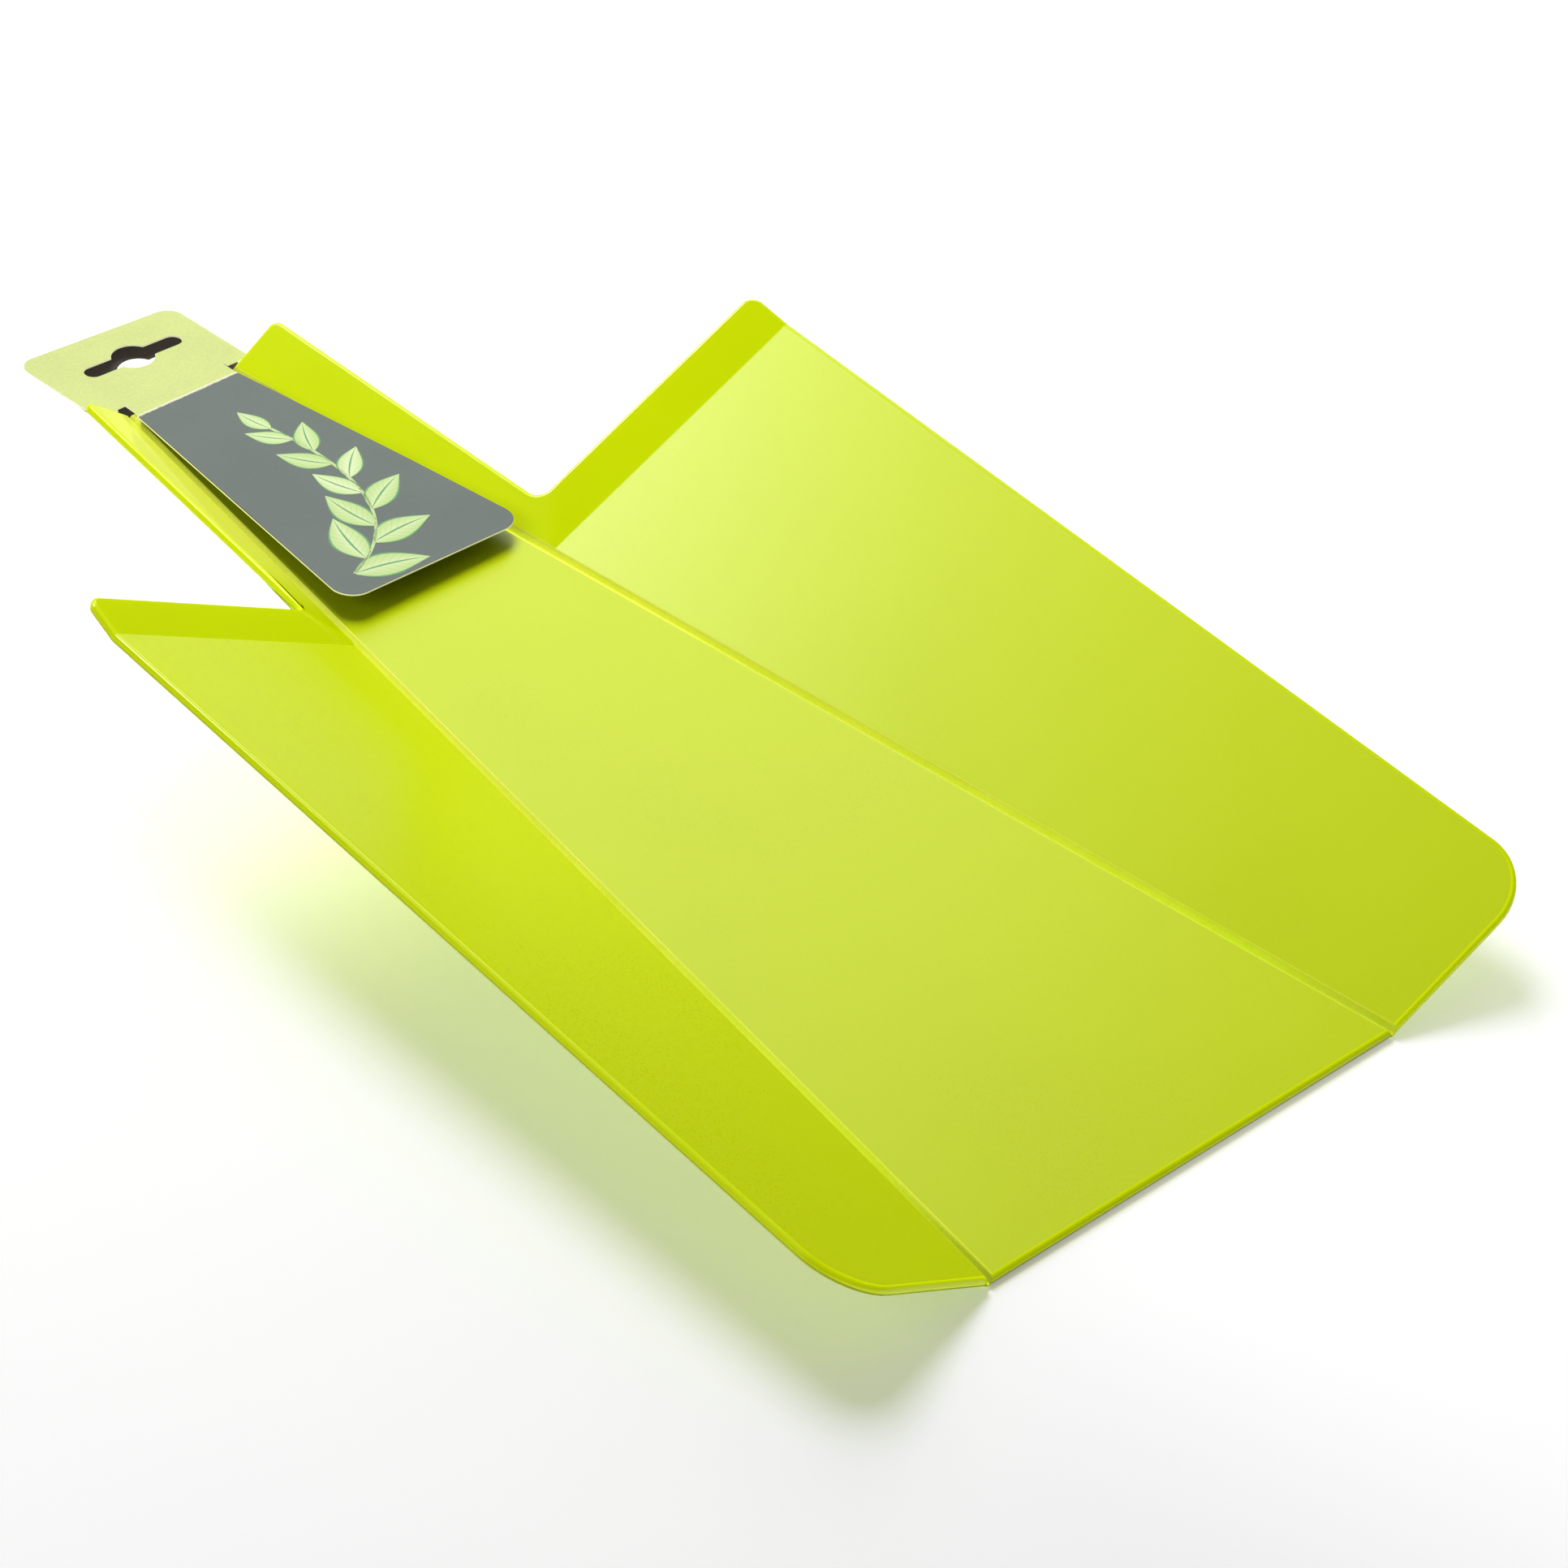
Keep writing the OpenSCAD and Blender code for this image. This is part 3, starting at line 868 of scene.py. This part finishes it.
def makeFlap():
    c = card
    wide, neck = c["flapFront"] / 2, c["flapNeck"] / 2
    freeY, buttY = c["creaseY"] - c["flapLength"], c["creaseY"] - c["gap"]
    ring = outlineRing([(-wide, freeY), (wide, freeY), (neck, buttY), (-neck, buttY)],
                       [c["flapCorner"]] * 2 + [0, 0], [0] * 4)
    cardSheet("cardFrontFlap", ring, [], flapShape,
              [cardFlapPrint, cardInside, cardCore],
              "flap", "card_front_flap", c["flapCell"])


def makeBack():
    c = card
    near, far, farY = headerCorners()
    (left, right), (leftY, rightY) = c["backInsets"], c["shoulderYs"]
    aside, nearAside, farAside = c["aside"], c["headerAsideNear"], c["headerAsideFar"]
    neck = c["flapNeck"] / 2
    ring = outlineRing(
        [(-neck + aside, c["backStartY"]), (neck + aside, c["backStartY"]),
         (neck + aside, rightY), (near - right + nearAside, rightY),
         (far - left + farAside, farY), (left - far + farAside, farY),
         (left - near + nearAside, leftY), (-neck + aside, leftY)],
        [c["flapCorner"]] * 2 + [0, 0] + [c["headerCorner"]] * 2 + [0, 0], [0] * 8)
    cardSheet("cardBack", ring, [slotRing(c["backSlotY"])], backShape,
              [cardInside, cardHeaderPrint, cardInside],
              "centre", "card_back", c["backCell"])


makeHeader()
makeFlap()
makeBack()
print("hang card made")


# A plain sprig of leaves, printed across the front of the flap: its sizes are in metres
sprigPrint = dict(
    ink=0.00004, sunk=0.00001,  # how thick the print is, and how much of it lies in the card
    pale=linear(216, 230, 176), deep=linear(184, 212, 132),
    rim=linear(96, 158, 100), stem=linear(196, 216, 160),
    fadeOut=0.7, fadeTone=0.5, fade=(0.1, 1.1),  # from pale to deep, outwards and from leaf to leaf
    veins=9, veinSlant=2.2, veinWidth=0.16, veinShare=0.55,
    midrib=(0.1, 0.03), edgeLine=(0.84, 0.92),  # where each starts and is full, in half widths of a leaf
    leafColumns=25, leafRows=11, leafBulge=0.8,  # below 1, a leaf is widest nearer the stem
    stemSteps=40, stemSides=8, sharpAngle=30,
)
sprigSizes = {
    "Leaves": 11,
    "Leaf Length": 0.0215,
    "Leaf Width": 0.0105,
    "Stem Width": 0.0005,
    "Ink": sprigPrint["ink"],
    "Splay": 0.78,
    "Closing": 0.35,
    "Curl": 0.35,
    "Taper": 0.42,
    "Uneven Turn": 0.12,
    "Uneven Size": 0.1,
    "Start": (-0.0215, 0.1585, 0.0),
    "Middle": (0.016, 0.174, 0.0),
    "End": (0.0065, 0.2275, 0.0),
    "Seed": 3,
}


def printedCard(graph, place, inkColour):
    fibre = noiseAt(graph, place, cardStock["fibre"], 3.0)
    roughness = fibre * cardStock["fibreRough"] + cardStock["inkRough"]
    return inkColour(fibre), roughness, fibre, cardStock["fibreDepth"]


def paintLeaf(graph, place):
    leaf = graph.add("ShaderNodeAttribute", {"attribute_name": "leafPlace"}, output="Vector")
    tone = graph.add("ShaderNodeAttribute", {"attribute_name": "leafTone"}, output="Fac")
    along, out = graph.axis(leaf, "X"), abs(graph.axis(leaf, "Y"))
    ink = sprigPrint
    fade = (out * ink["fadeOut"] + tone * ink["fadeTone"]).smooth(*ink["fade"])
    colour = graph.mix(fade, ink["pale"], ink["deep"])
    veins = abs(((along * ink["veins"] - out * ink["veinSlant"]) * math.pi).sin())
    veins = veins.smooth(ink["veinWidth"], 0.0) * ink["veinShare"]
    for line in (veins, out.smooth(*ink["midrib"]), out.smooth(*ink["edgeLine"])):
        colour = graph.mix(line, colour, ink["rim"])
    return printedCard(graph, place, lambda fibre: colour)


def paintStem(graph, place):
    return printedCard(graph, place, lambda fibre: graph.mix(fibre, sprigPrint["stem"], sprigPrint["deep"]))


# Leaves set in turn on each side of a curved stem, smaller towards its tip
def buildSprigTree(sizes):
    tree = bpy.data.node_groups.new("leafSprig", "GeometryNodeTree")
    addInputs(tree, sizes)
    graph = Graph(tree)
    given = graph.add("NodeGroupInput")
    sheet = graph.add("GeometryNodeMeshGrid", None, {
        "Size X": 1.0, "Size Y": 2.0,
        "Vertices X": sprigPrint["leafColumns"], "Vertices Y": sprigPrint["leafRows"]})
    place = graph.add("ShaderNodeSeparateXYZ", None, {"Vector": graph.add("GeometryNodeInputPosition")})
    along, out = place.other("X") + 0.5, place.other("Y")
    bulge = (along.maths("POWER", sprigPrint["leafBulge"]) * math.pi).sin()
    wide = bulge * given.other("Leaf Width") * 0.5
    curl = along * (1 - along) * given.other("Leaf Width") * given.other("Curl")
    shape = graph.add("ShaderNodeCombineXYZ", None, {
        "X": along * given.other("Leaf Length"), "Y": out * wide + curl, "Z": given.other("Ink")})
    leafPlace = graph.add("ShaderNodeCombineXYZ", None, {"X": along, "Y": out})
    leaf = graph.add("GeometryNodeStoreNamedAttribute", {"data_type": "FLOAT_VECTOR", "domain": "POINT"}, {
        "Geometry": sheet, "Name": "leafPlace", "Value": leafPlace})
    leaf = graph.add("GeometryNodeSetPosition", None, {"Geometry": leaf, "Position": shape})
    leaf = thickSheet(graph, leaf, given.other("Ink"))
    stem = graph.add("GeometryNodeCurveQuadraticBezier", None, {
        "Resolution": sprigPrint["stemSteps"],
        **{end: given.other(end) for end in ("Start", "Middle", "End")}})
    nodes = graph.add("GeometryNodeResampleCurve", {"mode": "COUNT"}, {
        "Curve": stem, "Count": given.other("Leaves")})
    index = graph.add("GeometryNodeInputIndex")
    toss = graph.add("FunctionNodeRandomValue", {"data_type": "FLOAT"}, {
        2: 0.0, 3: 1.0, "ID": index, "Seed": given.other("Seed")}, output=1)
    nodes = graph.add("GeometryNodeStoreNamedAttribute", {"data_type": "FLOAT", "domain": "POINT"}, {
        "Geometry": nodes, "Name": "leafTone", "Value": toss})
    heading = graph.add("ShaderNodeSeparateXYZ", None, {"Vector": graph.add("GeometryNodeInputTangent")})
    heading = heading.other("Y").maths("ARCTAN2", heading.other("X"))
    side = index.maths("MODULO", 2.0) * 2 - 1
    share = index / (given.other("Leaves") - 1)
    isLast = index > given.other("Leaves") - 1.5
    splay = side * given.other("Splay") * (1 - share * given.other("Closing")) * (1 - isLast)
    angle = heading + splay + (toss - 0.5) * given.other("Uneven Turn")
    turn = graph.add("ShaderNodeCombineXYZ", None, {"Z": angle})
    grow = 1 - share * given.other("Taper") + (toss - 0.5) * given.other("Uneven Size")
    size = graph.add("ShaderNodeCombineXYZ", None, {"X": grow, "Y": grow, "Z": 1.0})
    leaves = graph.add("GeometryNodeInstanceOnPoints", None, {
        "Points": nodes, "Instance": leaf, "Rotation": turn, "Scale": size})
    leaves = graph.add("GeometryNodeRealizeInstances", None, {"Geometry": leaves})
    leaves = graph.add("GeometryNodeSetMaterial", None, {
        "Geometry": leaves, "Material": given.other("Leaf Material")})
    profile = graph.add("GeometryNodeCurvePrimitiveCircle", None, {
        "Resolution": sprigPrint["stemSides"], "Radius": given.other("Stem Width")})
    stalk = graph.add("GeometryNodeCurveToMesh", None, {
        "Curve": stem, "Profile Curve": profile, "Fill Caps": True})
    stalk = graph.add("GeometryNodeSetMaterial", None, {
        "Geometry": stalk, "Material": given.other("Stem Material")})
    graph.add("NodeGroupOutput", None, {0: joinParts(graph, leaves, stalk)}, output=None)
    return tree


def printSprig():
    sizes = dict(sprigSizes)
    sizes["Leaf Material"] = cardMaterial("leafPrint", paintLeaf)
    sizes["Stem Material"] = cardMaterial("stemPrint", paintStem)
    sprig = growObject("cardSprig", buildSprigTree(sizes), sizes)
    for v in sprig.data.vertices:  # laid on the flap, however the flap bends
        x, y, z = flapShape(v.co.x / mm, v.co.y / mm, 0)
        height = max(0, min(sprigPrint["ink"], v.co.z)) - sprigPrint["sunk"]
        v.co = (x * mm, y * mm, z * mm + height)
    sprig.data.shade_smooth()
    sprig.data.set_sharp_from_angle(angle=math.radians(sprigPrint["sharpAngle"]))
    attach(sprig, "flap")


printSprig()
print("flap printed")


studio = dict(
    floorZ=-0.55,  # millimetres, just under the back of the card
    floorColour=(0.86, 0.86, 0.86),
    # painted light on the floor, for the camera alone, so that the floor reads white: weaker left of the
    # board where its shadow falls, stronger right of it, and more far off
    floorLift=(0.19, 0.34), floorLiftX=(-0.12, 0.02), farLift=0.7, farReach=(0.25, 1.3),
    floorReach=4.0,
    ambient=0.18,
    shine=0.02,  # how bright the surroundings are in reflections
    keyPower=16.8, keySize=0.75, keyPlace=(0.25, 0.74, 1.18),
    sidePower=4.4, sideSize=0.9, sidePlace=(0.74, 1.08, 0.74),
    fillPower=3.0, fillSize=0.9, fillPlace=(-1.1, 0.25, 0.62),
    hazePower=16.0, hazeSize=0.6, hazePlace=(-0.2, 1.14, 1.2),
    glarePower=5.3, glareSize=1.0, glarePlace=(1.0, 1.27, 1.1),
    aim=(0, 0.02, 0.02),
)


def makeFloor():
    mesh = bpy.data.meshes.new("floor")
    r, z = studio["floorReach"], studio["floorZ"] * mm
    mesh.from_pydata([(-r, -r, z), (r, -r, z), (r, r, z), (-r, r, z)], [], [(0, 1, 2, 3)])
    floor = bpy.data.objects.new("floor", mesh)
    bpy.context.scene.collection.objects.link(floor)
    material = bpy.data.materials.new("paleFloor")
    material.use_nodes = True
    tree = material.node_tree
    tree.nodes.clear()
    graph = Graph(tree)
    seen = graph.add("ShaderNodeLightPath", output="Is Camera Ray")
    place = graph.add("ShaderNodeTexCoord", output="Object")
    right = graph.axis(place, "X").smooth(*studio["floorLiftX"])
    away = graph.add("ShaderNodeVectorMath", {"operation": "LENGTH"}, {0: place}, output="Value")
    far = away.smooth(*studio["farReach"])
    low, high = studio["floorLift"]
    # Painted light: the floor is brightened for the camera, less on the left where the shadow lies
    lift = seen * (right * (high - low) + low + far * studio["farLift"])
    white = graph.add("ShaderNodeEmission", None, {"Strength": lift})
    matt = graph.add("ShaderNodeBsdfDiffuse", None, {"Color": (*studio["floorColour"], 1)})
    both = graph.add("ShaderNodeAddShader", None, {0: matt, 1: white})
    graph.add("ShaderNodeOutputMaterial", None, {"Surface": both}, output=None)
    mesh.materials.append(material)


def addLamp(name, glossy):  # it lights the surfaces, or else it is only mirrored in them
    power, size, place = (studio[name + part] for part in ("Power", "Size", "Place"))
    data = bpy.data.lights.new(name + "Lamp", "AREA")
    data.shape = "DISK"
    data.size = size
    data.energy = power
    lamp = bpy.data.objects.new(name + "Lamp", data)
    bpy.context.scene.collection.objects.link(lamp)
    lamp.visible_glossy = glossy
    lamp.visible_diffuse = not glossy
    lamp.location = place
    lamp.rotation_mode = "QUATERNION"
    lamp.rotation_quaternion = (Vector(studio["aim"]) - Vector(place)).to_track_quat("-Z", "Y")


def makeWorld():
    world = bpy.data.worlds.new("studio")
    bpy.context.scene.world = world
    world.use_nodes = True
    tree = world.node_tree
    tree.nodes.clear()
    graph = Graph(tree)
    path = graph.add("ShaderNodeLightPath", output="Is Camera Ray")
    glossy = path.other("Is Glossy Ray")
    level = path + (1 - path) * (glossy * studio["shine"] + (1 - glossy) * studio["ambient"])
    sky = graph.add("ShaderNodeBackground", None, {"Strength": level})
    graph.add("ShaderNodeOutputWorld", None, {"Surface": sky}, output=None)


makeFloor()
makeWorld()
for name, glossy in (("key", False), ("side", False), ("fill", False), ("haze", True), ("glare", True)):
    addLamp(name, glossy)
bpy.context.scene.view_settings.view_transform = "Standard"
print("studio ready")
